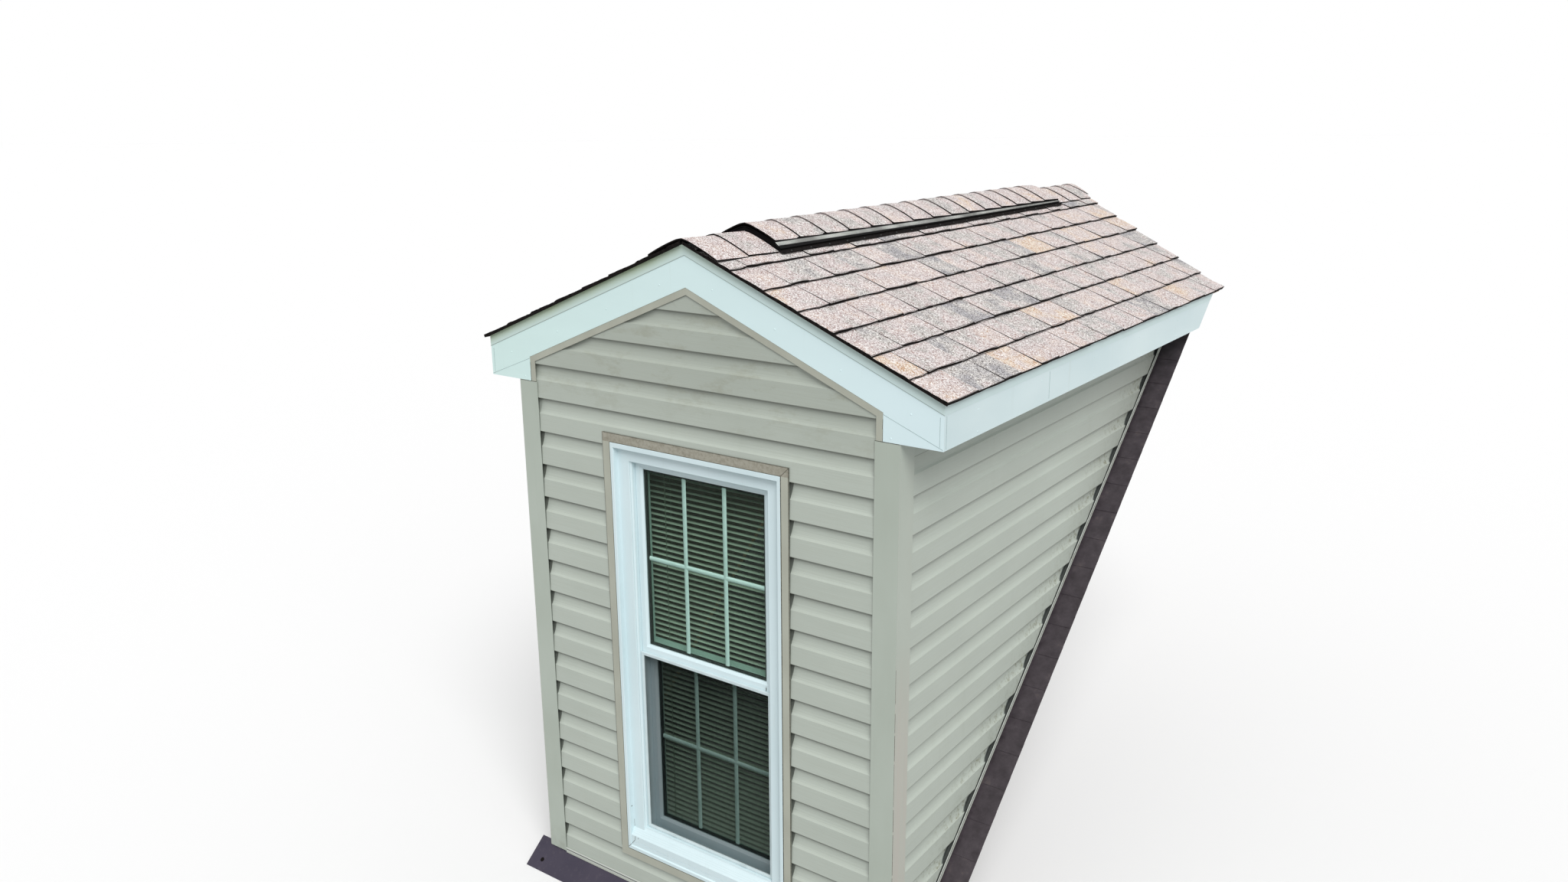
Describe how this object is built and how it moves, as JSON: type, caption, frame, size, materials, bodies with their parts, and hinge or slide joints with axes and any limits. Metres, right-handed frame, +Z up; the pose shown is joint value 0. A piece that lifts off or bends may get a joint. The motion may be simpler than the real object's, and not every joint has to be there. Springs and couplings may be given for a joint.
{
  "type": "gabled dormer window",
  "caption": "Gabled roof dormer with lapped siding, boxed eave returns, shingled roof with a ridge vent, and a double-hung window with grids and a blind.",
  "frame": {"origin": "on the underside of the front sole plate, in the middle of the front wall, where the dormer sits on the main roof's deck", "axes": "+Z up, +Y back into the main roof, +X to the right seen from outside"},
  "size_m": [1.7514, 2.9386, 2.3765],
  "materials": {
    "lumber": "sawn softwood",
    "wall_panel": "sheathing outside, painted board inside",
    "plaster_board": "painted matt",
    "deck_board": "strand board",
    "shingle": "mineral granules",
    "shingle_cap": "mineral granules",
    "black_plastic": "moulded",
    "fascia_metal": "pale blue-white coil coating",
    "siding_vinyl": "sage, low sheen",
    "trim_vinyl": "beige, low sheen",
    "flashing_metal": "dark purple-brown coating",
    "step_metal": "dark coating",
    "window_vinyl": "white, low sheen",
    "pane": "clear",
    "grid_metal": "white",
    "screen_metal": "white",
    "mesh": "charcoal insect mesh",
    "painted_wood": "painted white",
    "blind_white": "satin white",
    "blind_cord": "white cord"
  },
  "bodies": {
    "root": {"sole_plates": "lumber", "valley_plates": "lumber", "front_wall_left": "wall_panel", "front_wall_right": "wall_panel", "front_wall_below_window": "wall_panel", "front_wall_gable": "wall_panel", "cheek_wall_left": "wall_panel", "cheek_wall_right": "wall_panel", "ridge_board": "lumber", "rafters": "lumber", "ceiling": "plaster_board", "roof_deck_left": "deck_board", "roof_deck_right": "deck_board", "drip_edges": "fascia_metal", "shingles_left": "shingle", "shingles_right": "shingle", "ridge_vent": "black_plastic", "ridge_caps": "shingle_cap", "vent_caps": "shingle_cap", "rake_board_left": "fascia_metal", "rake_board_right": "fascia_metal", "eave_fascia_left": "fascia_metal", "eave_fascia_right": "fascia_metal", "eave_returns": "fascia_metal", "soffits": "fascia_metal", "corner_post_left": "siding_vinyl", "corner_post_right": "siding_vinyl", "siding_front": "siding_vinyl", "siding_gable": "siding_vinyl", "siding_cheek_left": "siding_vinyl", "siding_cheek_right": "siding_vinyl", "rake_channels": "siding_vinyl", "window_channel": "siding_vinyl", "cheek_channels": "trim_vinyl", "foot_trim": "trim_vinyl", "apron_flashing": "flashing_metal", "step_flashing": "step_metal", "window_frame": "window_vinyl", "upper_sash": "window_vinyl", "lower_sash": "window_vinyl", "upper_glass": "pane", "lower_glass": "pane", "sash_grids": "grid_metal", "screen_frame": "screen_metal", "screen_mesh": "mesh", "window_casing": "painted_wood", "blind_rails": "blind_white", "blind_ladders": "blind_cord", "blind_slats": "blind_white"}
  },
  "joints": []
}
